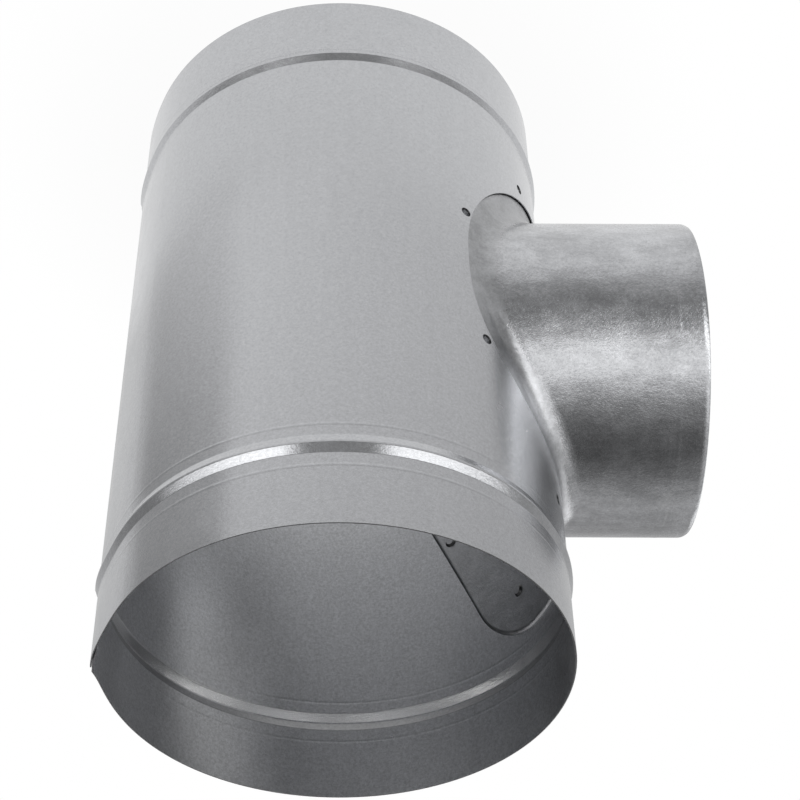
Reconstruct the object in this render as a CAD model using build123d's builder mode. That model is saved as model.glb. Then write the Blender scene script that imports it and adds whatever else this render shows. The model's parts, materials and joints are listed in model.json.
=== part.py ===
from build123d import *
import math
import os

# Reducing duct tee: a rolled sheet tube with a smaller branch drawn out of a saddle
# that lies inside the tube and is clinched to it.
# Millimetres. The tube stands on its end: its axis is Z, the bottom rim lies on Z = 0,
# the branch points along +X and the lap seam runs up the far side, along -X.

# Rolled tube
tube_radius = 99.5
tube_length = 332.0
tube_sheet = 0.6
bottom_bead_height = 41.5
top_bead_below_rim = 40.5
bead_half_width = 4.7
bead_crest_half_width = 0.5
bead_rise = 1.5

# Lap seam: the sheet leaves the round on both sides of it and stands up in a low ridge
seam_ridge = 4.6
ease_angle = 45.0
ease_growth = 12.5
lap_width = 12.0

# Drawn branch
branch_height = 163.5
branch_radius = 74.7
branch_reach = 163.4
saddle_sheet = 1.0
drawn_radius = 12.0
curl_radius = 5.0
curl_turn = 35.0

# Saddle flange inside the tube: it stands off the wall, and its edge is turned out to it
seat_gap = 0.05
flange_standoff = 0.5
flange_edge_bevel = 1.2
flange_side_reach = 22.5
flange_end_reach = 28.6
flange_side_slope = 22.7
flange_corner_radius = 42.0
flange_side_radius = 60.0

# Opening in the tube wall round the branch: a full oval, seen along the branch
opening_side_margin = 6.5
opening_end_margin = 9.0
opening_fullness = 2.6

# Clinch points: a pit pressed through both sheets, which stands up as a button inside
pit_radius = 1.9
pit_wall = 0.3
pit_clearance = 0.05
button_wall = 0.35
button_rise = 1.2
# Each mark: turn about the branch axis from +Y towards +Z, and the distance past the opening's edge
clinch_marks = [
    (-19.8, 2.0),
    (31.9, 2.8),
    (-60.5, 7.7),
    (72.3, 19.5),
    (156.8, 3.7),
    (119.8, 13.0),
    (202.2, 3.0),
    (240.3, 10.1),
]

# Length of the blocks and tools that run out past the part, and reach of a search for edges
past_all = 600.0
search_reach = 1.0
# Turn between two points of the opening's outline
outline_step = 15

# Worked out from the sizes above
wall_inside = tube_radius - tube_sheet
ease_radius = tube_radius + ease_growth
bead_slope = math.atan2(bead_rise, bead_half_width - bead_crest_half_width)
bead_heights = [bottom_bead_height, tube_length - top_bead_below_rim]
flange_outer = wall_inside - seat_gap - flange_standoff
flange_inner = flange_outer - saddle_sheet
opening_side = branch_radius + opening_side_margin
opening_end = branch_radius + opening_end_margin
flange_half_height = opening_end + flange_end_reach
flange_half_width = tube_radius * math.asin(opening_side / tube_radius) + flange_side_reach
button_radius = pit_radius + pit_wall + pit_clearance + button_wall
button_top = flange_inner - button_rise
pit_floor = button_top + button_wall + pit_clearance + pit_wall


def upright_plane(x, y, turn):
    """Plane that stands on the point (x, y), with its own x axis turned about Z by turn degrees."""
    angle = math.radians(turn)
    return Plane(
        origin=(x, y, 0),
        x_dir=(math.cos(angle), math.sin(angle), 0),
        z_dir=(math.sin(angle), -math.cos(angle), 0),
    )


def face_line(depth):
    """One face of the tube wall from bottom to top, depth below the outside, with its two V beads."""
    # The flanks stay parallel through the sheet, so they draw together below the outside
    narrowing = depth * math.tan(bead_slope / 2)
    side = bead_half_width - narrowing
    crest = bead_crest_half_width - narrowing
    start = (-depth, 0)
    for height in bead_heights:
        foot = (-depth, height + side)
        Polyline(
            start,
            (-depth, height - side),
            (bead_rise - depth, height - crest),
            (bead_rise - depth, height + crest),
            foot,
        )
        start = foot
    Line(start, (-depth, tube_length))


def wall_section(plane, thickness):
    """Section of the tube wall, with its outside face on the plane's own upright axis."""
    with BuildSketch(plane) as section:
        with BuildLine():
            face_line(0)
            face_line(thickness)
            Line((-thickness, 0), (0, 0))
            Line((-thickness, tube_length), (0, tube_length))
        make_face()
    return section.sketch


def half_wall(ridge, thickness):
    """Half of the rolled wall on the +Y side: round, then a flatter arc, then a flat up to the seam."""
    leave = 180 - ease_angle
    leave_dir = Vector(1, 0, 0).rotate(Axis.Z, leave)
    centre = leave_dir * (tube_radius - ease_radius)
    # The flat is tangent to the flatter arc and meets the seam plane at the ridge
    rise = tube_radius + ridge + centre.X
    reach = math.hypot(rise, centre.Y)
    tilt = math.degrees(math.acos(ease_radius / reach) - math.atan2(centre.Y, rise))
    flat_dir = Vector(-1, 0, 0).rotate(Axis.Z, -tilt)
    flat_start = centre + flat_dir * ease_radius
    flat_length = flat_start.Y / math.cos(math.radians(tilt)) + thickness
    round_section = wall_section(upright_plane(tube_radius, 0, 0), thickness)
    leave_point = leave_dir * tube_radius
    arc_section = wall_section(upright_plane(leave_point.X, leave_point.Y, leave), thickness)
    flat_section = wall_section(upright_plane(flat_start.X, flat_start.Y, 180 - tilt), thickness)
    with BuildPart() as half:
        revolve(round_section, axis=Axis.Z, revolution_arc=leave)
        revolve(arc_section, axis=Axis(centre, (0, 0, 1)), revolution_arc=ease_angle - tilt)
        extrude(flat_section, amount=-flat_length)
        split(bisect_by=Plane.XZ, keep=Keep.BOTTOM)
    return half.part


def opening_edge(turn):
    """Distance of the opening's edge from the branch axis, at turn degrees about that axis."""
    angle = math.radians(turn)
    across = abs(math.cos(angle) / opening_side) ** opening_fullness
    along = abs(math.sin(angle) / opening_end) ** opening_fullness
    return (across + along) ** (-1 / opening_fullness)


def clinch_plane(turn, margin, radius):
    """Plane at a clinch mark, at radius from the tube's axis, facing in towards that axis."""
    distance = opening_edge(turn) + margin
    side = distance * math.cos(math.radians(turn)) / tube_radius
    height = branch_height + distance * math.sin(math.radians(turn))
    inward = Vector(-math.sqrt(1 - side**2), -side, 0)
    return Plane(origin=Vector(0, 0, height) - inward * radius, z_dir=inward)


def wall_point(arc, height):
    """Point on the tube's inside wall, arc millimetres round from the branch side."""
    angle = arc / tube_radius
    return Vector(wall_inside * math.cos(angle), wall_inside * math.sin(angle), branch_height + height)


def side_cut(side, end):
    """Plane square to the wall through one slanted side of the flange, facing away from the branch."""
    slope = math.tan(math.radians(flange_side_slope))
    corner = wall_point(side * (flange_half_width - flange_half_height * slope), end * flange_half_height)
    tip = wall_point(side * flange_half_width, 0)
    middle = (corner + tip) * 0.5
    outward = Vector(middle.X, middle.Y, 0)
    normal = outward.cross(tip - corner) * (side * end)
    return Plane(origin=middle, z_dir=normal)


def side_trim(side, inset):
    """Block that is cut to the flange's outline, less inset, on one side of the branch."""
    with BuildPart() as trim:
        with Locations((0, 0, branch_height)):
            height = 2 * (flange_half_height - inset)
            Box(past_all, past_all, height, align=(Align.MIN, Align.CENTER, Align.CENTER))
        for end in (-1, 1):
            split(bisect_by=side_cut(side, end).offset(-inset), keep=Keep.BOTTOM)
        tip_low, tip_high = branch_height - search_reach, branch_height + search_reach
        at_tip = trim.edges().filter_by_position(Axis.Z, tip_low, tip_high)
        fillet(at_tip.filter_by(Axis.Z, reverse=True), flange_side_radius - inset)
        ends = trim.faces().filter_by(Plane.XY).edges().filter_by(GeomType.LINE)
        slanted = ends.filter_by(Axis.Y, reverse=True).filter_by(Axis.X, reverse=True)
        fillet(slanted, flange_corner_radius - inset)
    return trim.part


def flange_pad(inside, outside, inset):
    """Piece of tube wall from radius inside to outside, cut to the flange's outline less inset."""
    with BuildPart() as pad:
        with BuildSketch(Plane.XY.offset(branch_height - flange_half_height)):
            Circle(outside)
            Circle(inside, mode=Mode.SUBTRACT)
        extrude(amount=2 * flange_half_height)
        for side in (-1, 1):
            add(side_trim(side, inset), mode=Mode.INTERSECT)
    return pad.part


def drawn_form(main_radius, collar_radius, round_radius, collar_end):
    """Solid tube crossed by a solid branch, with the corner between them drawn to a radius."""
    with BuildPart() as form:
        with BuildSketch(Plane.XY.offset(branch_height - flange_half_height - saddle_sheet)):
            Circle(main_radius)
        extrude(amount=2 * (flange_half_height + saddle_sheet))
        with BuildSketch(Plane.YZ):
            with Locations((0, branch_height)):
                Circle(collar_radius)
        extrude(amount=collar_end)
        crossing = form.edges().filter_by(GeomType.BSPLINE)
        fillet(crossing, round_radius)
    return form.part


upper_half = half_wall(seam_ridge, tube_sheet)
tucked_half = half_wall(seam_ridge - tube_sheet, tube_sheet)
doubled_half = half_wall(seam_ridge, 2 * tube_sheet)

with BuildPart() as lap:
    add(doubled_half)
    with BuildSketch(Plane.XZ):
        with Locations((-tube_radius, tube_length / 2)):
            Rectangle(tube_radius, 2 * tube_length)
    extrude(amount=-lap_width, mode=Mode.INTERSECT)

with BuildPart() as main_tube:
    add(upper_half)
    add(mirror(tucked_half, about=Plane.XZ))
    add(lap.part)
    # Clinch pits, pressed in from outside
    for turn, margin in clinch_marks:
        with BuildSketch(clinch_plane(turn, margin, tube_radius - tube_sheet / 2)):
            Circle(pit_radius + pit_wall)
        extrude(amount=tube_radius - tube_sheet / 2 - pit_floor + pit_wall)
        with BuildSketch(clinch_plane(turn, margin, tube_radius + tube_sheet)):
            Circle(pit_radius)
        extrude(amount=tube_radius + tube_sheet - pit_floor, mode=Mode.SUBTRACT)
    # Opening round the branch
    outline = [
        (
            opening_edge(turn) * math.cos(math.radians(turn)),
            branch_height + opening_edge(turn) * math.sin(math.radians(turn)),
        )
        for turn in range(0, 360, outline_step)
    ]
    with BuildSketch(Plane.YZ):
        with BuildLine():
            Spline(*outline, periodic=True)
        make_face()
    extrude(amount=2 * tube_radius, mode=Mode.SUBTRACT)
main_tube.part.label = "main_tube"

collar_end = branch_reach - curl_radius * math.sin(math.radians(curl_turn))
outer_form = drawn_form(flange_outer, branch_radius, drawn_radius, collar_end)
inner_form = drawn_form(flange_inner, branch_radius - saddle_sheet, drawn_radius + saddle_sheet, past_all)
flange_seat = flange_outer + flange_standoff

with BuildPart() as turned_edge:
    add(flange_pad(flange_inner, flange_seat, 0))
    add(flange_pad(flange_inner - saddle_sheet, wall_inside, saddle_sheet), mode=Mode.SUBTRACT)

with BuildPart() as branch_saddle:
    # Flange, drawn corner and collar
    with BuildSketch(Plane.YZ):
        with Locations((0, branch_height)):
            Circle(branch_radius + drawn_radius + saddle_sheet)
    extrude(amount=past_all)
    add(flange_pad(flange_inner - saddle_sheet, flange_seat, 0))
    add(outer_form, mode=Mode.INTERSECT)
    add(inner_form, mode=Mode.SUBTRACT)
    add(turned_edge.part)
    # Rim of the collar, curled inwards
    curl_centre = (collar_end, branch_height + branch_radius - curl_radius)
    with BuildSketch(Plane.XZ):
        with BuildLine():
            curl_outside = CenterArc(curl_centre, curl_radius, 90, -curl_turn)
            curl_inside = CenterArc(curl_centre, curl_radius - saddle_sheet, 90, -curl_turn)
            Line(curl_outside @ 0, curl_inside @ 0)
            Line(curl_outside @ 1, curl_inside @ 1)
        make_face()
    revolve(axis=Axis((0, 0, branch_height), (1, 0, 0)))
    # Inside edge of the flange, bevelled where it is turned
    on_flange = (flange_inner, 0, branch_height + flange_half_height - 2 * flange_edge_bevel)
    flange_face = branch_saddle.faces().sort_by_distance(on_flange)[0]
    chamfer(flange_face.outer_wire().edges(), flange_edge_bevel)
    # Clinch buttons, pressed in round the pits
    for turn, margin in clinch_marks:
        with BuildSketch(clinch_plane(turn, margin, flange_outer)):
            Circle(button_radius)
        extrude(amount=flange_outer - button_top)
        with BuildSketch(clinch_plane(turn, margin, flange_seat)):
            Circle(button_radius - button_wall)
        extrude(amount=flange_seat - button_top - button_wall, mode=Mode.SUBTRACT)
branch_saddle.part.label = "branch_saddle"

os.makedirs("parts", exist_ok=True)
export_step(main_tube.part, "parts/main_tube.step")
export_step(branch_saddle.part, "parts/branch_saddle.step")
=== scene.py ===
import json
import math
import bmesh
import bpy
import numpy as np
from mathutils import Matrix, Vector
from mathutils.geometry import delaunay_2d_cdt


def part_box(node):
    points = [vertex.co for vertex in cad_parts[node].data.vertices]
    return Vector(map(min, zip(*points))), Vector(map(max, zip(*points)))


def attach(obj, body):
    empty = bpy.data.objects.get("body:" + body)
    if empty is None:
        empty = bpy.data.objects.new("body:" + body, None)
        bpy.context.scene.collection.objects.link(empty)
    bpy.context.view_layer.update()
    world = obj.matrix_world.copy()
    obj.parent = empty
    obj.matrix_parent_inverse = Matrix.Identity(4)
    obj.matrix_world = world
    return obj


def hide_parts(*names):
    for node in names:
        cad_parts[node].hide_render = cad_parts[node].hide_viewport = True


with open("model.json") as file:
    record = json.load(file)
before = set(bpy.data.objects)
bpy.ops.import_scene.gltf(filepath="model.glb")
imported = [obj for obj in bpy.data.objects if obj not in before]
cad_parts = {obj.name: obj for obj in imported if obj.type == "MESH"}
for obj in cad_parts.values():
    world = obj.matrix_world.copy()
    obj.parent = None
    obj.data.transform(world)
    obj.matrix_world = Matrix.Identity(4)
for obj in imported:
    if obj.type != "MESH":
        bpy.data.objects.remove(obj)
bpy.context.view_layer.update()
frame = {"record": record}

# Reducing duct tee. Metres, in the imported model's frame: the tube stands on its end with its axis on Z,
# the branch points along +X and the lap seam runs up the -X side.
#
# Both sheets are first laid out flat, as the blanks that they are made from: x runs round the tube at its
# outside, from the branch side towards +Y, y runs up it, and z is the rise off the tube's round outside.
# The clinch points are pressed into the flat blank, and then the blank is rolled.

MM = 0.001

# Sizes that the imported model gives
mounts = {mount["name"]: mount for mount in frame["record"]["mounts"]}
tube_radius = mounts["top_spigot"]["dims"]["r_mm"] * MM
tube_length = mounts["top_spigot"]["pos_m"][2]
branch_radius = mounts["branch_spigot"]["dims"]["r_mm"] * MM
branch_height = mounts["branch_spigot"]["pos_m"][2]
branch_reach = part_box("branch_saddle")[1].x

# Rolled tube
tube_sheet = 0.6 * MM
cut_edge_round = 0.12 * MM
bead_heights = (41.5 * MM, tube_length - 40.5 * MM)
bead_half_width = 4.7 * MM
bead_crest_half_width = 0.5 * MM
bead_rise = 1.5 * MM
bead_bend_radius = 1.1 * MM
witness_heights = (31.0 * MM, 52.5 * MM, tube_length - 51.0 * MM, tube_length - 29.5 * MM)
witness_rise = 0.05 * MM
witness_half_width = 1.1 * MM

# Lap seam. The outer sheet comes round on the +Y side and ends at the ridge, which is highest at the top rim.
# The other end of the same sheet comes round on the -Y side, rises towards the seam and is tucked under it.
# Turns are measured from the branch's side, so the tucked end lies past half a turn.
ridge_rise = 4.55 * MM
ridge_reach = math.radians(13)
ridge_at_bottom = 0.4
ridge_growth = 0.8
ridge_fade_start = math.radians(45)
ridge_fade_width = math.radians(25)
tucked_near_rise = 2.5 * MM
tucked_near_reach = math.radians(3.6)
tucked_far_rise = 1.7 * MM
tucked_far_reach = math.radians(24)
tucked_fullness = 1.3
tuck_start = math.radians(178)
tuck_width = math.radians(5)
lap_gap = 0.04 * MM
lap_closed_turn = math.radians(181.5)
lap_mouth_turn = math.radians(5)
lap_mouth_gap = 0.45 * MM
lap_mouth_depth = 22 * MM

# Opening round the branch, and the clinch marks round it: turn about the branch axis in degrees, from +Y
# towards +Z, and distance past the opening's edge
opening_side = branch_radius + 6.5 * MM
opening_end = branch_radius + 9.0 * MM
opening_fullness = 2.6
clinch_marks = (
    (-19.8, 2.0 * MM),
    (31.9, 2.8 * MM),
    (-60.5, 7.7 * MM),
    (72.3, 19.5 * MM),
    (156.8, 3.7 * MM),
    (119.8, 13.0 * MM),
    (202.2, 3.0 * MM),
    (240.3, 10.1 * MM),
)

# Drawn saddle
saddle_sheet = 1.0 * MM
flange_drop = 1.15 * MM
drawn_radius = 12.0 * MM
curl_radius = 5.0 * MM
curl_turn = math.radians(35)
ring_from_end = 13.4 * MM
ring_rise = 0.06 * MM
ring_half_width = 1.5 * MM
flange_half_height = opening_end + 28.6 * MM
flange_half_width = tube_radius * math.asin(opening_side / tube_radius) + 22.5 * MM
flange_side_slope = math.radians(22.7)
flange_corner_radius = 42.0 * MM
flange_side_radius = 60.0 * MM
turned_width = 2.0 * MM
turned_rise = 1.45 * MM
flange_back = -flange_drop - saddle_sheet

# Clinch points: a pit in the tube, nested in a button of the saddle. Radii at the rim and the foot, and how
# far the two faces of each sheet are pressed down.
pit_rim = 2.55 * MM
pit_foot = 1.65 * MM
pit_depth = 2.65 * MM
pit_back_depth = 2.95 * MM
button_rim = 3.0 * MM
button_foot = 2.0 * MM
button_floor = 3.0 * MM
button_top = 3.35 * MM

# Columns of the tube, from the lap's outer edge round to its tucked end: the turns in degrees between which
# they are evenly spaced, and how many there are
wall_columns = (
    (178.3, 150, 40),
    (150, 80, 28),
    (80, -80, 64),
    (-80, -150, 28),
    (-150, -172, 24),
    (-172, -188, 36),
)
# Rows of the tube on each bend and flank of a bead and on each faint line, and the small step that gives
# the wall's slope
bend_rows = 5
flank_rows = 4
line_rows = 7
slope_step = 1e-7
# Part of the tube's wall that is filled with triangles round the opening
window_low = 58 * MM
window_high = tube_length - 60 * MM
window_turn = math.radians(77.5)
opening_step = math.radians(2)

# Columns of the saddle, and its rows over the drawn corner, along the collar, over the ring line, from there
# to the curl, round the curl and up the flange's turned edge
drawn_step = math.radians(1.5)
corner_rows = 15
collar_rows = 7
ring_rows = 7
end_rows = 4
curl_rows = 8
turned_rows = 9

# Other sizes of the mesh. In a filled sheet, points stay off its loops, and each hole has one even ring of
# points round it, both by a share of the spacing.
mesh_step = 6.0 * MM
edge_steps = 6
corner_steps = 4
cup_steps = 10
cup_floor_rings = (0.66, 0.33)
ring_sides = 24
off_loops = 0.6
off_hole = 0.35
weld = 1e-6
sliver = 1e-9
fill_tolerance = 1e-7
no_area = 1e-30


def smoothstep(t):
    t = np.clip(t, 0.0, 1.0)
    return t * t * (3 - 2 * t)


def roll(flat):
    """Points of the flat blank, rolled round the tube's axis."""
    flat = np.asarray(flat, float)
    turn = flat[..., 0] / tube_radius
    radius = tube_radius + flat[..., 2]
    return np.stack([radius * np.cos(turn), radius * np.sin(turn), flat[..., 1]], -1)


def unroll(points):
    """The inverse of roll, for points on the branch's side."""
    points = np.asarray(points, float)
    turn = np.arctan2(points[..., 1], points[..., 0])
    radius = np.hypot(points[..., 0], points[..., 1])
    return np.stack([turn * tube_radius, points[..., 2], radius - tube_radius], -1)


class Blank:
    """The flat points and faces of one sheet, collected patch by patch and welded at the end."""

    def __init__(self):
        self.points = []
        self.faces = []

    def patch(self, points, faces):
        start = len(self.points)
        self.points.extend(map(tuple, np.asarray(points, float).reshape(-1, 3)))
        self.faces.extend([tuple(start + corner for corner in face) for face in faces])

    def grid(self, rows, closed=False, skip=None):
        """Quads between rows of points, listed so that the face turns its front to row x column."""
        rows = np.asarray(rows, float)
        count, width = rows.shape[:2]
        faces = []
        for i in range(count - 1):
            for j in range(width if closed else width - 1):
                if skip is not None and skip(i, j):
                    continue
                k = (j + 1) % width
                faces.append((i * width + j, i * width + k, (i + 1) * width + k, (i + 1) * width + j))
        self.patch(rows, faces)

    def mesh(self, name):
        mesh = bpy.data.meshes.new(name)
        mesh.from_pydata(self.points, [], self.faces)
        return mesh


def in_loop(points, loop):
    """Which of the flat points lie inside a closed loop."""
    x, y = points[:, 0, None], points[:, 1, None]
    x0, y0 = loop[:, 0], loop[:, 1]
    x1, y1 = np.roll(x0, -1), np.roll(y0, -1)
    crosses = (y0 > y) != (y1 > y)
    with np.errstate(divide="ignore", invalid="ignore"):
        at = x0 + (y - y0) * (x1 - x0) / (y1 - y0)
    return (np.sum(crosses & (x < at), axis=1) % 2).astype(bool)


def distance_to(points, loop):
    """Distance of the flat points from the nearest point of a densely drawn loop."""
    return np.min(np.hypot(points[:, 0, None] - loop[:, 0], points[:, 1, None] - loop[:, 1]), axis=1)


def even_points(outside, holes, spacing):
    """Points in rows of triangles inside a flat sheet, clear of its outside and its holes."""
    low, high = outside.min(0), outside.max(0)
    across = np.arange(low[0], high[0], spacing)
    up = np.arange(low[1], high[1], spacing * math.sqrt(3) / 2)
    points = np.array([(x + (i % 2) * spacing / 2, y) for i, y in enumerate(up) for x in across])
    points = points[in_loop(points, outside)]
    for loop in (outside, *holes):
        points = points[distance_to(points, loop) > off_loops * spacing]
    for hole in holes:
        points = points[~in_loop(points, hole)]
    return points


def spread_ring(hole, spacing):
    """A ring of points near a hole, which keeps the triangles round it even."""
    away = hole - hole.mean(0)
    return hole + away / np.linalg.norm(away, axis=1, keepdims=True) * off_hole * spacing


def loop_edges(loops):
    """Edges of closed loops, whose points follow each other in one list."""
    edges = []
    start = 0
    for loop in loops:
        count = len(loop)
        edges.extend((start + i, start + (i + 1) % count) for i in range(count))
        start += count
    return edges


def fill_sheet(outside, holes, spacing):
    """Triangles of a flat sheet between its outside and its holes. Returns its points and its faces."""
    loops = [outside, *holes]
    rings = [spread_ring(hole, spacing) for hole in holes]
    points = np.concatenate([*loops, *rings, even_points(outside, holes, spacing)])
    scale = 1 / spacing
    coords = [Vector(point * scale) for point in points]
    found, _, faces, source, _, _ = delaunay_2d_cdt(coords, loop_edges(loops), [], 0, fill_tolerance)
    found = np.array([tuple(point) for point in found]) / scale
    # The given points get their exact places back
    for new, old in enumerate(source):
        if old:
            found[new] = points[old[0]]
    # Triangles outside the sheet, in its holes or without an area go
    middles = np.array([found[list(face)].mean(0) for face in faces])
    corners = found[np.array(faces)]
    sides = corners[:, 1:] - corners[:, :1]
    area = np.abs(sides[:, 0, 0] * sides[:, 1, 1] - sides[:, 0, 1] * sides[:, 1, 0]) / 2
    keep = in_loop(middles, outside) & (area > sliver)
    for hole in holes:
        keep &= ~in_loop(middles, hole)
    return found, [tuple(face) for face, kept in zip(faces, keep) if kept]


def lifted(points, rise):
    """Flat points at a rise off the tube's round."""
    return np.column_stack([points, np.broadcast_to(rise, len(points))])


def flipped(faces):
    """The same faces, turned to the other side."""
    return [tuple(reversed(face)) for face in faces]


def cut_edge(outer, inner, outward):
    """Rows across the cut edge of a sheet, from its outer face round to its inner face."""
    middle = (outer + inner) / 2
    half = (outer - inner) / 2
    angles = np.linspace(0, math.pi, edge_steps + 1)
    return [middle + half * math.cos(angle) + outward * math.sin(angle) for angle in angles]


def ring(centre, radius):
    """Flat circle of points."""
    turns = np.arange(ring_sides) * 2 * math.pi / ring_sides
    return np.column_stack([centre[0] + radius * np.cos(turns), centre[1] + radius * np.sin(turns)])


def opening_edge(turn):
    """Distance of the opening's edge from the branch axis."""
    across = np.abs(np.cos(turn) / opening_side) ** opening_fullness
    along = np.abs(np.sin(turn) / opening_end) ** opening_fullness
    return (across + along) ** (-1 / opening_fullness)


def flat_place(turn, distance):
    """Flat place at a turn about the branch axis and a distance from it."""
    across = tube_radius * np.arcsin(distance * np.cos(turn) / tube_radius)
    return np.stack([across, branch_height + distance * np.sin(turn)], -1)


def mark_place(turn, margin):
    """Flat place of a clinch mark."""
    turn = math.radians(turn)
    return flat_place(turn, opening_edge(turn) + margin)


mark_places = [mark_place(turn, margin) for turn, margin in clinch_marks]

bead_slope = math.atan2(bead_rise, bead_half_width - bead_crest_half_width)
# Each bend of a bead eases over this much height on both sides of its corner
bead_bend_reach = bead_bend_radius * math.tan(bead_slope / 2)


def bead_profile(height):
    """Rise of the wall at a height: the two V beads and the faint lines that the rolls left."""
    height = np.asarray(height, float)
    rise = np.zeros_like(height)
    steep = math.tan(bead_slope)
    for middle in bead_heights:
        off = np.abs(height - middle)
        rise += np.clip((bead_half_width - off) * steep, 0, bead_rise)
        for corner, sign in ((bead_half_width, 1), (bead_crest_half_width, -1)):
            near = np.clip(bead_bend_reach - np.abs(off - corner), 0, None)
            rise += sign * steep * near**2 / (4 * bead_bend_reach)
    for middle in witness_heights:
        off = np.clip(np.abs(height - middle) / witness_half_width, 0, 1)
        rise += witness_rise * (1 - smoothstep(off))
    return rise


def ridge_profile(turn, height):
    """Rise of the sheet's outer face near the lap seam."""
    strength = ridge_at_bottom + (1 - ridge_at_bottom) * (height / tube_length) ** ridge_growth
    off = math.pi - np.abs(turn)
    outer = ridge_rise * np.exp(-((off / ridge_reach) ** 2))
    near = tucked_near_rise * np.exp(-np.abs(off) / tucked_near_reach)
    far = tucked_far_rise * np.exp(-((np.abs(off) / tucked_far_reach) ** tucked_fullness))
    fade = 1 - smoothstep((np.abs(off) - ridge_fade_start) / ridge_fade_width)
    from_rim = np.minimum(height, tube_length - height)
    opened = smoothstep((-turn - lap_closed_turn) / lap_mouth_turn)
    gap = lap_gap + lap_mouth_gap * opened * (1 - smoothstep(from_rim / lap_mouth_depth))
    under = outer * strength - tube_sheet - gap
    tucked = (near + far) * fade * strength
    tuck = smoothstep((-turn - tuck_start) / tuck_width)
    return np.where(turn > 0, outer * fade * strength, tucked * (1 - tuck) + under * tuck)


def wall_rows():
    """Heights of the tube's rows: close together on the beads and the lines, and even between them."""
    bend = bead_bend_reach * np.linspace(-1, 1, bend_rows)
    half = np.concatenate([bead_crest_half_width + bend, bead_half_width + bend])
    flank = np.linspace(bead_crest_half_width, bead_half_width, flank_rows)[1:-1]
    bead = np.concatenate([-half, -flank, flank, half])
    line = np.linspace(-witness_half_width, witness_half_width, line_rows)
    close = [middle + bead for middle in bead_heights] + [middle + line for middle in witness_heights]
    ends = [cut_edge_round, tube_length - cut_edge_round]
    rows = np.unique(np.round(np.concatenate([*close, ends]), 9))
    filled = [rows[0]]
    for row in rows[1:]:
        gap = row - filled[-1]
        steps = max(1, math.ceil(gap / mesh_step))
        filled.extend(filled[-1] + gap * np.arange(1, steps + 1) / steps)
    return np.array(filled)


def wall_turns():
    """Turns of the tube's columns, from the lap's outer edge round to its tucked end."""
    spans = [np.linspace(first, last, count, endpoint=False) for first, last, count in wall_columns]
    return np.radians(np.concatenate([*spans, [wall_columns[-1][1]]]))


def wall_faces(rows, turns):
    """The outer and the inner face of the tube's wall, as rows of flat points."""
    height, turn = np.meshgrid(rows, turns, indexing="ij")
    slope = (bead_profile(height + slope_step) - bead_profile(height - slope_step)) / (2 * slope_step)
    lean = np.arctan(slope)
    outer = np.stack([turn * tube_radius, height, bead_profile(height) + ridge_profile(turn, height)], -1)
    through = tube_sheet * np.stack([np.zeros_like(lean), np.sin(lean), -np.cos(lean)], -1)
    return outer, outer + through


def close_wall(blank, outer, inner):
    """Rounded cut edges of the wall, and its rounded corners where two of them meet."""
    down, up = np.array([0, -cut_edge_round, 0]), np.array([0, cut_edge_round, 0])
    off_edge, off_end = np.array([cut_edge_round, 0, 0]), np.array([-cut_edge_round, 0, 0])
    blank.grid(cut_edge(outer[-1], inner[-1], up))
    blank.grid(cut_edge(outer[0, ::-1], inner[0, ::-1], down))
    blank.grid(cut_edge(outer[::-1, 0], inner[::-1, 0], off_edge)[::-1])
    blank.grid(cut_edge(outer[:, -1], inner[:, -1], off_end)[::-1])
    quarter = np.linspace(0, math.pi / 2, corner_steps)[:, None]
    for row, across_edge in ((0, down), (-1, up)):
        for column, along_edge in ((0, off_edge), (-1, off_end)):
            spread = across_edge * np.cos(quarter) + along_edge * np.sin(quarter)
            outer_corner = np.broadcast_to(outer[row, column], spread.shape)
            inner_corner = np.broadcast_to(inner[row, column], spread.shape)
            blank.grid(cut_edge(outer_corner, inner_corner, spread))


def tube_window(blank, columns, rows):
    """Wall round the opening, with holes for the clinch marks and the opening's cut edge."""
    outside = np.concatenate(
        [
            [(x, rows[0]) for x in columns[:-1]],
            [(columns[-1], y) for y in rows[:-1]],
            [(x, rows[-1]) for x in columns[:0:-1]],
            [(columns[0], y) for y in rows[:0:-1]],
        ]
    )
    around = np.arange(0, 2 * math.pi, opening_step)
    opening = flat_place(around, opening_edge(around))
    holes = [opening] + [ring(place, pit_rim) for place in mark_places]
    points, faces = fill_sheet(outside, holes, mesh_step)
    blank.patch(lifted(points, 0.0), faces)
    blank.patch(lifted(points, -tube_sheet), flipped(faces))
    inward = np.array([0, branch_height]) - opening
    inward /= np.linalg.norm(inward, axis=1, keepdims=True)
    lip = lifted(inward * cut_edge_round, 0.0)
    blank.grid(cut_edge(lifted(opening, 0.0), lifted(opening, -tube_sheet), lip), closed=True)


def tube_blank():
    """Flat blank of the rolled tube, both faces and all its cut edges."""
    blank = Blank()
    rows = wall_rows()
    turns = wall_turns()
    row_low, row_high = (int(np.argmin(np.abs(rows - height))) for height in (window_low, window_high))
    column_low, column_high = (int(np.argmin(np.abs(turns - turn))) for turn in (window_turn, -window_turn))

    def in_window(i, j):
        return row_low <= i < row_high and column_low <= j < column_high

    outer, inner = wall_faces(rows, turns)
    # Columns run backwards round the tube, so these grids face outwards as they stand
    blank.grid(outer[:, ::-1], skip=lambda i, j: in_window(i, len(turns) - 2 - j))
    blank.grid(inner, skip=in_window)
    close_wall(blank, outer, inner)
    columns = outer[0, column_low : column_high + 1, 0]
    tube_window(blank, columns, rows[row_low : row_high + 1])
    return blank


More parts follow.
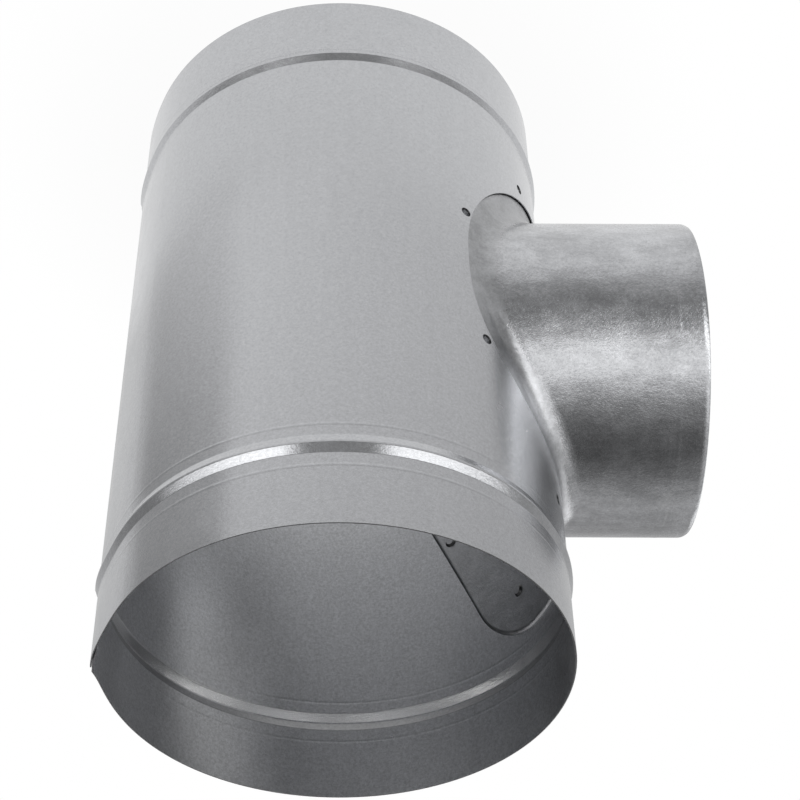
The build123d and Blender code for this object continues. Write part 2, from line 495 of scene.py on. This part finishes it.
def rounded_outline(corners, radii, step):
    """Closed outline with rounded corners, anticlockwise, and the outward direction at each point."""
    corners = np.asarray(corners, float)
    count = len(corners)
    points, outwards = [], []
    arcs = []
    for i in range(count):
        before = corners[i - 1] - corners[i]
        after = corners[(i + 1) % count] - corners[i]
        before /= np.linalg.norm(before)
        after /= np.linalg.norm(after)
        half = math.acos(np.clip(before @ after, -1, 1)) / 2
        middle = (before + after) / np.linalg.norm(before + after)
        centre = corners[i] + middle * radii[i] / math.sin(half)
        start = math.atan2(-before[0], before[1]) + math.pi
        sweep = math.pi - 2 * half
        arcs.append((centre, radii[i], start, sweep))
    for i, (centre, radius, start, sweep) in enumerate(arcs):
        steps = max(2, math.ceil(radius * sweep / step))
        for angle in start + sweep * np.linspace(0, 1, steps + 1):
            outward = np.array([math.cos(angle), math.sin(angle)])
            points.append(centre + radius * outward)
            outwards.append(outward)
        # Straight run up to the next corner
        next_centre, next_radius, next_start, _ = arcs[(i + 1) % count]
        begin = points[-1]
        end = next_centre + next_radius * np.array([math.cos(next_start), math.sin(next_start)])
        steps = max(1, math.ceil(np.linalg.norm(end - begin) / step))
        for k in range(1, steps):
            points.append(begin + (end - begin) * k / steps)
            outwards.append(outwards[-1])
    return np.array(points), np.array(outwards)


def drawn_turns():
    """Turns of the saddle's columns about the branch axis."""
    return np.arange(0, 2 * math.pi, drawn_step)


def drawn_rows(outer_face):
    """Rows of one face of the saddle, from the flange through the drawn corner to the rim."""
    within = 0 if outer_face else saddle_sheet
    cos, sin = np.cos(drawn_turns()), np.sin(drawn_turns())

    def circle(x, radius):
        return np.stack([np.broadcast_to(x, cos.shape), radius * cos, branch_height + radius * sin], -1)

    # Drawn corner, as a ball leaves it that rolls round between the tube and the branch
    ball_off_tube = tube_radius - flange_drop + drawn_radius
    ball_off_branch = branch_radius + drawn_radius
    ball = circle(np.sqrt(ball_off_tube**2 - (ball_off_branch * cos) ** 2), ball_off_branch)
    to_tube = -np.stack([ball[:, 0], ball[:, 1], np.zeros_like(cos)], -1) / ball_off_tube
    to_branch = -np.stack([np.zeros_like(cos), cos, sin], -1)
    span = np.arccos(np.clip(np.sum(to_tube * to_branch, -1), -1, 1))[:, None]
    rows = []
    for part in np.linspace(0, 1, corner_rows):
        toward = (np.sin((1 - part) * span) * to_tube + np.sin(part * span) * to_branch) / np.sin(span)
        rows.append(ball + (drawn_radius + within) * toward)
    # Collar with its ring line
    collar = branch_radius - within
    collar_end = branch_reach - cut_edge_round - curl_radius * math.sin(curl_turn)
    ring_line = branch_reach - ring_from_end
    before_ring, after_ring = ring_line - ring_half_width, ring_line + ring_half_width
    for part in np.linspace(0, 1, collar_rows)[1:]:
        rows.append(circle(ball[:, 0] * (1 - part) + before_ring * part, collar))
    for off in np.linspace(-1, 1, ring_rows)[1:-1]:
        bump = ring_rise * (1 - smoothstep(abs(off)))
        rows.append(circle(ring_line + off * ring_half_width, collar + bump))
    for part in np.linspace(0, 1, end_rows):
        rows.append(circle(after_ring * (1 - part) + collar_end * part, collar))
    # Curl
    curl = curl_radius - within
    for angle in np.linspace(0, curl_turn, curl_rows)[1:]:
        place = collar_end + curl * math.sin(angle)
        rows.append(circle(place, branch_radius - curl_radius + curl * math.cos(angle)))
    return np.array(rows)


def flange_outline():
    """Closed outline of the flange: its six rounded corners, and the outward direction at each point."""
    corner = flange_half_width - flange_half_height * math.tan(flange_side_slope)
    corners = [
        (flange_half_width, 0, flange_side_radius),
        (corner, flange_half_height, flange_corner_radius),
        (-corner, flange_half_height, flange_corner_radius),
        (-flange_half_width, 0, flange_side_radius),
        (-corner, -flange_half_height, flange_corner_radius),
        (corner, -flange_half_height, flange_corner_radius),
    ]
    places = [(x, branch_height + y) for x, y, _ in corners]
    return rounded_outline(places, [radius for _, _, radius in corners], mesh_step / 2)


def turned_face(outline, outward, reach, foot, climb):
    """Rows of one face of the flange's turned edge, round a quarter turn and up towards the wall."""
    return np.array(
        [
            lifted(outline + outward * reach * math.sin(angle), foot + climb * (1 - math.cos(angle)))
            for angle in np.linspace(0, math.pi / 2, turned_rows)
        ]
    )


def saddle_blank():
    """The drawn saddle, unrolled: flange with its turned edge, drawn corner, collar and curl."""
    blank = Blank()
    outer, inner = unroll(drawn_rows(True)), unroll(drawn_rows(False))
    blank.grid(outer[:, ::-1], closed=True)
    blank.grid(inner, closed=True)
    # Cut edge of the rim, worked out in the rolled shape
    cos, sin = np.cos(drawn_turns()), np.sin(drawn_turns())
    lean_out, lean_in = math.cos(curl_turn), -math.sin(curl_turn)
    outward = np.stack([np.full(cos.shape, lean_out), lean_in * cos, lean_in * sin], -1) * cut_edge_round
    rim = np.array([unroll(row) for row in cut_edge(roll(outer[-1]), roll(inner[-1]), outward)])
    blank.grid(rim[:, ::-1], closed=True)
    # Flange, with holes for the drawn corner and the clinch marks
    outline, outward = flange_outline()
    inside = outline - outward * turned_width
    holes = [outer[0][:, :2]] + [ring(place, button_rim) for place in mark_places]
    points, faces = fill_sheet(inside, holes, mesh_step)
    blank.patch(lifted(points, -flange_drop), faces)
    blank.patch(lifted(points, flange_back), flipped(faces))
    # Turned edge: its back, its front and the cut edge between them
    back = turned_face(inside, outward, turned_width, flange_back, turned_rise)
    front_climb = flange_back + turned_rise + flange_drop
    front = turned_face(inside, outward, turned_width - saddle_sheet, -flange_drop, front_climb)
    blank.grid(back[:, ::-1], closed=True)
    blank.grid(front, closed=True)
    crown = np.broadcast_to([0, 0, cut_edge_round], front[-1].shape)
    blank.grid(cut_edge(front[-1], back[-1], crown), closed=True)
    return blank


def pressed_cup(name, rim, foot, face, floor, back_face, back_floor):
    """Both faces of one clinch point, pressed down through a flat sheet.

    rim and foot are its radii. Each face of the sheet is pressed from its own rise down to its floor.
    """
    blank = Blank()
    for start, end, front in ((face, floor, True), (back_face, back_floor, False)):
        rows = []
        for part in np.linspace(0, 1, cup_steps + 1):
            height = start + (end - start) * float(smoothstep(part))
            rows.append(lifted(ring((0, 0), rim + (foot - rim) * part), height))
        rows.extend(lifted(ring((0, 0), part * foot), end) for part in cup_floor_rings)
        rows = np.array(rows)
        blank.grid(rows if front else rows[:, ::-1], closed=True)
        hub = [(0, 0, end)] + [tuple(point) for point in rows[-1]]
        fan = [(0, 1 + i, 1 + (i + 1) % ring_sides) for i in range(ring_sides)]
        blank.patch(hub, fan if front else flipped(fan))
    return bpy.data.objects.new(name, blank.mesh(name))


class Wire:
    """One output of a node. Arithmetic on wires adds Math nodes to their graph."""

    def __init__(self, graph, node, output):
        self.graph = graph
        self.node = node
        self.socket = node.outputs[output] if len(node.outputs) else None

    def out(self, output):
        return Wire(self.graph, self.node, output)

    def __add__(self, other):
        return self.graph.maths("ADD", self, other)

    def __radd__(self, other):
        return self.graph.maths("ADD", other, self)

    def __sub__(self, other):
        return self.graph.maths("SUBTRACT", self, other)

    def __rsub__(self, other):
        return self.graph.maths("SUBTRACT", other, self)

    def __mul__(self, other):
        return self.graph.maths("MULTIPLY", self, other)

    def __rmul__(self, other):
        return self.graph.maths("MULTIPLY", other, self)

    def __truediv__(self, other):
        return self.graph.maths("DIVIDE", self, other)

    def __pow__(self, other):
        return self.graph.maths("POWER", self, other)

    def band(self, low, high, soft):
        """One between low and high, fading to zero over soft on both sides."""
        rise = self.graph.fade(self, low - soft, low)
        fall = self.graph.fade(self, high, high + soft)
        return rise * (1 - fall)


class Graph:
    """Adds nodes to a shader or geometry tree."""

    def __init__(self, tree):
        self.tree = tree

    def node(self, kind, settings=None, inputs=None, output=0):
        """Adds a node, sets its settings first and then the values or wires of its inputs."""
        node = self.tree.nodes.new(kind)
        for key, value in (settings or {}).items():
            if key == "stops":
                ramp = node.color_ramp
                while len(ramp.elements) < len(value):
                    ramp.elements.new(0.5)
                for element, (place, colour) in zip(ramp.elements, value):
                    element.position = place
                    element.color = colour
            else:
                setattr(node, key, value)
        for key, value in (inputs or {}).items():
            if isinstance(value, Wire):
                self.tree.links.new(value.socket, node.inputs[key])
            else:
                node.inputs[key].default_value = value
        return Wire(self, node, output)

    def maths(self, operation, *values):
        return self.node("ShaderNodeMath", {"operation": operation}, dict(enumerate(values)))

    def fade(self, value, low, high):
        """Zero up to low, one from high on, and smooth between."""
        settings = {"interpolation_type": "SMOOTHSTEP"}
        return self.node("ShaderNodeMapRange", settings, {"Value": value, "From Min": low, "From Max": high})

    def mix(self, factor, first, second):
        """Colour mixed from two colours, which are inputs 6 and 7 and output 2 of the node."""
        settings = {"data_type": "RGBA"}
        return self.node("ShaderNodeMix", settings, {0: factor, 6: first, 7: second}, 2)

    def noise(self, vector, scale, detail, roughness):
        inputs = {"Vector": vector, "Scale": scale, "Detail": detail, "Roughness": roughness}
        return self.node("ShaderNodeTexNoise", None, inputs)

    def stretch(self, vector, scale):
        return self.node("ShaderNodeMapping", None, {"Vector": vector, "Scale": scale})

    def bump(self, height, distance, **inputs):
        inputs.update({"Strength": bump_strength, "Distance": distance, "Height": height})
        return self.node("ShaderNodeBump", None, inputs)


def new_material(name):
    material = bpy.data.materials.new(name)
    material.use_nodes = True
    material.node_tree.nodes.clear()
    return material, Graph(material.node_tree)


def grey(level, tint=(1.0, 1.0, 1.0)):
    """Grey of a level from zero to one, or brighter for light, tinted by shares of red, green and blue."""
    red, green, blue = tint
    return (level * red, level * green, level * blue, 1.0)


# Noises of the zinc: scale per metre, detail and roughness
grain_noise = (1600.0, 2.0, 0.6)
speck_noise = (700.0, 2.0, 0.6)
cloud_noise = (26.0, 5.0, 0.65)
blot_noise = (110.0, 4.0, 0.7)
streak_noise = (160.0, 4.0, 0.65)
swell_noise = (45.0, 3.0, 0.6)
# Grey of the zinc where its tone is darkest and palest, against its level, and its cool tint
zinc_range = (0.7, 1.3)
zinc_tint = (0.988, 1.0, 1.03)
# Share of the clouds in the soft patches, the blots being the rest, and share of the blots in the relief
clouds_in_mottle = 0.6
blots_in_swell = 0.15
bump_strength = 0.5
# Roughness that the clouds and the blots add, that is added beside the opening and that the bead rolls take
# away
cloud_roughness = 0.16
blot_roughness = 0.12
dulled_roughness = 0.3
rolled_smoothness = 0.17
# Marks on the zinc: how far each covers it, and the grey that it turns it. All but the bare edge are painted
# light or painted shade.
# Painted light: faces turned towards the tube's axis are painted paler
inside_painted_light = (0.1, 0.85)
# Painted highlight on the lower flank of the upper bead's groove, inside the tube
rolled_flank_painted_highlight = (1.0, 0.95)
# Painted shade on the upper flank of that groove
upper_flank_painted_shade = (0.6, 0.10)
# Painted shade: a dark ring in the upper wall of each clinch point, where shade falls
clinch_ring_painted_shade = (0.9, 0.02)
bare_edge_mark = (0.8, 0.08)
# The saddle is darker and rougher near the opening. This fades out between two distances from the tube's
# axis, and the grey that it turns the sheet is a share of its level.
dulled_radii = (tube_radius - 1.0 * MM, tube_radius + 7.0 * MM)
dulled_level = 0.15
clinch_ring_softness = 0.2 * MM
flank_softness = 0.3 * MM
bare_edge_heights = (tube_length - 0.15 * MM, tube_length - 0.05 * MM)


def near_marks(graph, place, rise, low, high):
    """One on a ring round each clinch point, and zero elsewhere."""
    rings = 0.0
    for mark in mark_places:
        centre = roll((mark[0], mark[1], rise))
        off = graph.node("ShaderNodeVectorMath", {"operation": "DISTANCE"}, {0: place, 1: centre}, "Value")
        rings = rings + off.band(low, high, clinch_ring_softness)
    return rings


def sheet_metal(name, level, roughness, draw, tones, grain_depth, waviness, clinch_ring_shade, inside, dulled):
    """Galvanised sheet with a fine grain, soft cloudy patches and faint streaks along the draw.

    tones: how strongly the grain, the clouds and the streaks tint it
    clinch_ring_shade: the rise and the two radii of the ring of painted shade in each clinch point
    inside: how much rougher and how much grainier it is inside the tube, and how strongly the painted
    highlight and the painted shade on the flanks of the upper bead's groove cover it
    dulled: how much darker and rougher it is beside the opening
    """
    material, graph = new_material(name)
    place = graph.node("ShaderNodeTexCoord", None, None, "Object")
    across = graph.node("ShaderNodeSeparateXYZ", None, {"Vector": place})
    height = across.out("Z")
    from_axis = (across * across + across.out("Y") * across.out("Y")) ** 0.5
    within = graph.node("ShaderNodeAttribute", {"attribute_name": "inside"}, None, "Fac")
    drawn = graph.stretch(place, draw)
    grain = graph.noise(place, *grain_noise)
    specks = graph.noise(place, *speck_noise)
    clouds = graph.noise(place, *cloud_noise)
    blots = graph.noise(place, *blot_noise)
    streaks = graph.noise(drawn, *streak_noise)
    swell = graph.noise(drawn, *swell_noise)
    grain_tone, cloud_tone, streak_tone = tones
    rougher, grainier, groove_light_and_shade = inside

    # Marks. Inside the tube the lower flank of the upper bead's groove gets a painted highlight, and its
    # other flank a painted shade.
    by_opening = dulled * (1 - graph.fade(from_axis, *dulled_radii))
    crest = bead_heights[1]
    rolled_flank = height.band(crest - bead_half_width, crest - bead_crest_half_width, flank_softness)
    shaded_flank = height.band(crest + bead_crest_half_width, crest + bead_half_width, flank_softness)
    bare_edge = graph.fade(height, *bare_edge_heights)
    marks = (
        # Painted light: faces towards the axis painted paler
        (within, *inside_painted_light),
        (by_opening, 1.0, dulled_level * level),
        # Painted highlight on the lower flank of the groove
        (groove_light_and_shade * within * rolled_flank, *rolled_flank_painted_highlight),
        # Painted shade on the upper flank of the groove
        (groove_light_and_shade * within * shaded_flank, *upper_flank_painted_shade),
        # Painted shade ring in each clinch point
        (near_marks(graph, place, *clinch_ring_shade), *clinch_ring_painted_shade),
        (bare_edge, *bare_edge_mark),
    )

    mottle = clouds_in_mottle * clouds + (1 - clouds_in_mottle) * blots - 0.5
    tone = (grain_tone + grainier * within) * (grain + specks - 1.0)
    tone = tone + cloud_tone * mottle + streak_tone * (streaks - 0.5)
    darkest, palest = (grey(level * share, zinc_tint) for share in zinc_range)
    colour = graph.mix(graph.fade(0.5 + tone, 0.0, 1.0), darkest, palest)
    for mask, cover, shade in marks:
        colour = graph.mix(cover * mask, colour, grey(shade))

    rough = roughness + cloud_roughness * (clouds - 0.5) + blot_roughness * (blots - 0.5)
    rough = rough + within * (rougher - rolled_smoothness * rolled_flank) + dulled_roughness * by_opening
    fine = graph.bump(grain + specks, grain_depth)
    relief = graph.bump(swell + blots_in_swell * blots, waviness, Normal=fine)
    look = {"Base Color": colour, "Metallic": 1.0, "Roughness": rough, "Normal": relief}
    shader = graph.node("ShaderNodeBsdfPrincipled", None, look)
    graph.node("ShaderNodeOutputMaterial", None, {"Surface": shader})
    return material


def rolling_tree():
    """Geometry nodes that press the clinch points into a flat blank and roll it into a tube."""
    tree = bpy.data.node_groups.new("Clinch and roll", "GeometryNodeTree")
    for name, kind in (
        ("Geometry", "NodeSocketGeometry"),
        ("Marks", "NodeSocketObject"),
        ("Clinch point", "NodeSocketObject"),
        ("Tube radius", "NodeSocketFloat"),
        ("Weld distance", "NodeSocketFloat"),
        ("Finish", "NodeSocketMaterial"),
    ):
        tree.interface.new_socket(name=name, in_out="INPUT", socket_type=kind)
    tree.interface.new_socket(name="Geometry", in_out="OUTPUT", socket_type="NodeSocketGeometry")
    graph = Graph(tree)
    given = graph.node("NodeGroupInput", None, None, "Geometry")
    marks = graph.node("GeometryNodeObjectInfo", None, {"Object": given.out("Marks")}, "Geometry")
    clinch = graph.node("GeometryNodeObjectInfo", None, {"Object": given.out("Clinch point")}, "Geometry")
    pressed = graph.node("GeometryNodeInstanceOnPoints", None, {"Points": marks, "Instance": clinch})
    pressed = graph.node("GeometryNodeRealizeInstances", None, {"Geometry": pressed})
    joined = graph.node("GeometryNodeJoinGeometry", None, {"Geometry": given})
    tree.links.new(pressed.socket, joined.node.inputs["Geometry"])
    welding = {"Geometry": joined, "Distance": given.out("Weld distance")}
    welded = graph.node("GeometryNodeMergeByDistance", None, welding)
    position = graph.node("GeometryNodeInputPosition")
    along = graph.node("ShaderNodeSeparateXYZ", None, {"Vector": position})
    turn = along / given.out("Tube radius")
    radius = along.out("Z") + given.out("Tube radius")
    across, deep = radius * graph.maths("COSINE", turn), radius * graph.maths("SINE", turn)
    rolled = graph.node("ShaderNodeCombineXYZ", None, {"X": across, "Y": deep, "Z": along.out("Y")})
    shaped = graph.node("GeometryNodeSetPosition", None, {"Geometry": welded, "Position": rolled})
    smooth = graph.node("GeometryNodeSetShadeSmooth", None, {"Geometry": shaped})
    whole = graph.node("GeometryNodeRealizeInstances", None, {"Geometry": smooth})
    made = graph.node("GeometryNodeSetMaterial", None, {"Geometry": whole, "Material": given.out("Finish")})
    graph.node("NodeGroupOutput", None, {"Geometry": made})
    return tree


def link(piece):
    bpy.context.scene.collection.objects.link(piece)
    return piece


def read(items, key, width=1, kind=np.float32):
    """One value, or a row of them, for each item of a mesh."""
    values = np.zeros(len(items) * width, kind)
    items.foreach_get(key, values)
    return values.reshape(-1, width) if width > 1 else values


def face_weighted_normals(mesh):
    """Normal at each vertex, with each face weighted by its area.

    Wide faces stay plain to their edges that way. A point with no face of any area gets a zero normal.
    """
    corner_vertex = read(mesh.loops, "vertex_index", kind=np.int32)
    corner_count = read(mesh.polygons, "loop_total", kind=np.int32)
    weighted = read(mesh.polygons, "normal", 3) * read(mesh.polygons, "area")[:, None]
    weighted = np.repeat(weighted, corner_count, axis=0)
    count = len(mesh.vertices)
    summed = np.stack([np.bincount(corner_vertex, weighted[:, axis], count) for axis in range(3)], -1)
    return summed / np.maximum(np.linalg.norm(summed, axis=1, keepdims=True), no_area)


def rolled_mesh(name, blank, clinch, finish):
    """Mesh of a blank that is rolled with its clinch points, with all its faces turned outwards."""
    flat = link(bpy.data.objects.new(name + "_blank", blank.mesh(name + "_blank")))
    modifier = flat.modifiers.new("Clinch and roll", "NODES")
    modifier.node_group = rolling
    values = {
        "Marks": mark_points,
        "Clinch point": clinch,
        "Tube radius": tube_radius,
        "Weld distance": weld,
        "Finish": finish,
    }
    for item in rolling.interface.items_tree:
        if item.in_out == "INPUT" and item.name in values:
            modifier[item.identifier] = values[item.name]
    bpy.context.view_layer.update()
    ready = flat.evaluated_get(bpy.context.evaluated_depsgraph_get())
    mesh = bpy.data.meshes.new_from_object(ready)
    mesh.name = name
    bpy.data.objects.remove(flat)
    shape = bmesh.new()
    shape.from_mesh(mesh)
    bmesh.ops.recalc_face_normals(shape, faces=shape.faces)
    shape.to_mesh(mesh)
    shape.free()
    return mesh


def rolled_piece(name, blank, clinch, finish, plain_walls):
    """One rolled sheet.

    Points at the radius of a plain wall get that wall's exact normal, if they face its side. The attribute
    "inside" tells the finish which points face the tube's axis.
    """
    mesh = rolled_mesh(name, blank, clinch, finish)
    normals = face_weighted_normals(mesh)
    places = read(mesh.vertices, "co", 3)
    radius = np.hypot(places[:, 0], places[:, 1])
    away = places * [1, 1, 0] / radius[:, None]
    outwards = np.sum(normals * away, axis=1)
    for wall_radius, side in plain_walls:
        on_wall = (np.abs(radius - wall_radius) < weld) & (outwards * side > 0)
        normals[on_wall] = away[on_wall] * side
    mesh.normals_split_custom_set_from_vertices(normals)
    facing_axis = (outwards < 0).astype(np.float32)
    mesh.attributes.new("inside", "FLOAT", "POINT").data.foreach_set("value", facing_axis)
    return link(bpy.data.objects.new(name, mesh))


# The two sheets
rolling = rolling_tree()
mark_mesh = bpy.data.meshes.new("clinch_marks")
mark_mesh.from_pydata([(place[0], place[1], 0) for place in mark_places], [], [])
mark_points = link(bpy.data.objects.new("clinch_marks", mark_mesh))
pit = link(pressed_cup("tube_pit", pit_rim, pit_foot, 0, -pit_depth, -tube_sheet, -pit_back_depth))
button_faces = (-flange_drop, -button_floor, flange_back, -button_top)
button = link(pressed_cup("saddle_button", button_rim, button_foot, *button_faces))
tube_finish = sheet_metal(
    "galvanised_tube",
    level=0.50,
    roughness=0.22,
    draw=(1.0, 1.0, 0.05),
    tones=(0.35, 0.2, 0.08),
    grain_depth=0.05 * MM,
    waviness=0.02 * MM,
    # Painted shade ring in the upper wall of each pit
    clinch_ring_shade=(-0.5 * pit_depth, 2.35 * MM, 2.75 * MM),
    inside=(0.10, 0.6, 1.0),
    dulled=0.0,
)
saddle_finish = sheet_metal(
    "galvanised_saddle",
    level=0.50,
    roughness=0.24,
    draw=(0.35, 1.0, 1.0),
    tones=(0.6, 1.6, 0.6),
    grain_depth=0.16 * MM,
    waviness=0.6 * MM,
    # Painted shade ring round each button
    clinch_ring_shade=(flange_back, 2.4 * MM, 2.9 * MM),
    inside=(0.0, 0.0, 0.0),
    dulled=0.28,
)
# Radius of each plain wall, and the side that it faces
tube_walls = ((tube_radius, 1), (tube_radius - tube_sheet, -1))
saddle_walls = ((tube_radius - flange_drop, 1), (tube_radius + flange_back, -1))
tube = rolled_piece("rolled_tube", tube_blank(), pit, tube_finish, tube_walls)
saddle = rolled_piece("drawn_saddle", saddle_blank(), button, saddle_finish, saddle_walls)
for scrap in (mark_points, pit, button):
    bpy.data.objects.remove(scrap)
for piece, node, slot in ((tube, "main_tube", "tube_sheet"), (saddle, "branch_saddle", "saddle_sheet")):
    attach(piece, "root")
    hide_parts(node)

# Camera, solved from both rims of the tube and the branch's outline. The near rim is at the foot of the
# picture, so the picture stands on its head against the model.
camera_place = Vector((-0.0018, 0.6747, 0.7993))
picture_right = Vector((0.99999, 0.0040, -0.0019))
picture_down = Vector((0.0041, -0.6774, 0.7356))
picture_size = 800
focal_pixels = 1940.7
principal_point = (338.7, 402.0)


def photo_camera():
    data = bpy.data.cameras.new("camera")
    data.lens = focal_pixels / picture_size * data.sensor_width
    data.shift_x = 0.5 - principal_point[0] / picture_size
    data.shift_y = principal_point[1] / picture_size - 0.5
    forward = picture_right.cross(picture_down).normalized()
    right = picture_right.normalized()
    turned = Matrix((right, right.cross(forward), -forward)).transposed().to_4x4()
    camera = link(bpy.data.objects.new("camera", data))
    camera.matrix_world = Matrix.Translation(camera_place) @ turned
    return camera


bpy.context.scene.camera = photo_camera()

# Studio
bpy.context.scene.view_settings.view_transform = "Standard"

# Brightness of the studio against the height of a direction, from straight down to straight up, on the
# camera's side of the tube and behind it. White is one. Between the two it fades over front_fade, in cosines
# of the turn from the camera's side.
front_stops = (
    (0.0, 0.92),
    (0.14, 0.95),
    (0.3, 0.3),
    (0.5, 0.3),
    (0.6, 0.6),
    (0.66, 1.5),
    (0.78, 1.4),
    (0.9, 0.4),
    (1.0, 0.1),
)
back_stops = ((0.0, 0.9), (0.15, 0.76), (0.4, 0.45), (0.55, 0.4), (0.8, 0.6), (1.0, 0.1))
front_fade = (-0.4, 0.5)
# Low panels stand left and right of the camera and, weaker, behind the tube. Their edges are the sine of the
# turn from the Y axis and the sine of the height above the horizon, each with its softness.
panel_edges = (0.38, 0.95, 0.06)
panel_heights = (-0.12, 0.16, 0.05)
panel_glow = 6.2
panel_fade = (-0.1, 0.1)
behind_share = 0.4
# The room is a little darker towards +X, and it is darker low down at the very left, on the -X side
side_tilt = 0.11
dark_side = 0.52
dark_edges = (0.9, 1.2, 0.1)
dark_heights = (-0.66, 0.1, 0.08)
# Keeps the level part of a direction from being zero straight up and straight down
least_level = 1e-4


def brightness_stops(stops):
    """Stops of a colour ramp from stops of brightness."""
    return [(place, grey(level)) for place, level in stops]


def studio_world():
    """Plain soft studio: white for the camera, and for the metal a pale room with low panels."""
    world = bpy.data.worlds.new("studio")
    world.use_nodes = True
    world.node_tree.nodes.clear()
    air = Graph(world.node_tree)
    direction = air.node("ShaderNodeTexCoord", None, None, "Generated")
    to_right = air.node("ShaderNodeSeparateXYZ", None, {"Vector": direction})
    to_front, upward = to_right.out("Y"), to_right.out("Z")
    level_part = (to_right * to_right + to_front * to_front + least_level) ** 0.5
    aside, ahead = to_right / level_part, to_front / level_part
    height = 0.5 + 0.5 * upward
    front = air.node("ShaderNodeValToRGB", {"stops": brightness_stops(front_stops)}, {"Fac": height})
    back = air.node("ShaderNodeValToRGB", {"stops": brightness_stops(back_stops)}, {"Fac": height})
    room = air.mix(air.fade(ahead, *front_fade), back, front)
    panel = air.maths("ABSOLUTE", aside).band(*panel_edges) * upward.band(*panel_heights)
    panel = panel * (behind_share + (1 - behind_share) * air.fade(ahead, *panel_fade))
    dip = (-1 * aside).band(*dark_edges) * upward.band(*dark_heights)
    strength = 1 - dark_side * dip - side_tilt * aside + panel * panel_glow
    lit = air.node("ShaderNodeBackground", None, {"Color": room, "Strength": strength})
    white = air.node("ShaderNodeBackground", None, {"Color": grey(1.0), "Strength": 1.0})
    ray = air.node("ShaderNodeLightPath", None, None, "Is Camera Ray")
    seen = air.node("ShaderNodeMixShader", None, {0: ray, 1: lit, 2: white})
    air.node("ShaderNodeOutputWorld", None, {"Surface": seen})
    return world


bpy.context.scene.world = studio_world()

# Floor: a pale disc, which keeps the shadow near the object. The camera and the metal see it as nearly white,
# and from floor_fade, a share of its radius, it fades to the white of the room.
floor_radius = 0.21
floor_sides = 96
floor_grey = 0.85
floor_fade = 0.4
floor_to_camera = 0.94
floor_to_metal = 0.92


def pale_finish():
    """Diffuse where it is lit, and white where it is seen directly or in the metal."""
    finish, ground = new_material("floor_white")
    rays = ground.node("ShaderNodeLightPath", None, None, "Is Camera Ray")
    spot = ground.node("ShaderNodeTexCoord", None, None, "Object")
    from_middle = ground.node("ShaderNodeVectorMath", {"operation": "LENGTH"}, {0: spot}, "Value")
    faded = ground.fade(from_middle, floor_fade * floor_radius, floor_radius)
    to_camera = rays * (floor_to_camera + (1 - floor_to_camera) * faded)
    shown = to_camera + floor_to_metal * rays.out("Is Glossy Ray")
    lit = ground.node("ShaderNodeBsdfDiffuse", None, {"Color": grey(floor_grey)})
    glow = ground.node("ShaderNodeEmission", None, {"Color": grey(1.0), "Strength": 1.0})
    both = ground.node("ShaderNodeMixShader", None, {0: shown, 1: lit, 2: glow})
    ground.node("ShaderNodeOutputMaterial", None, {"Surface": both})
    return finish


def pale_floor():
    turns = np.arange(floor_sides) * 2 * math.pi / floor_sides
    rim = [(floor_radius * math.cos(turn), floor_radius * math.sin(turn), 0) for turn in turns]
    mesh = bpy.data.meshes.new("floor")
    mesh.from_pydata(rim, [], [tuple(range(floor_sides))])
    mesh.materials.append(pale_finish())
    return link(bpy.data.objects.new("floor", mesh))


pale_floor()
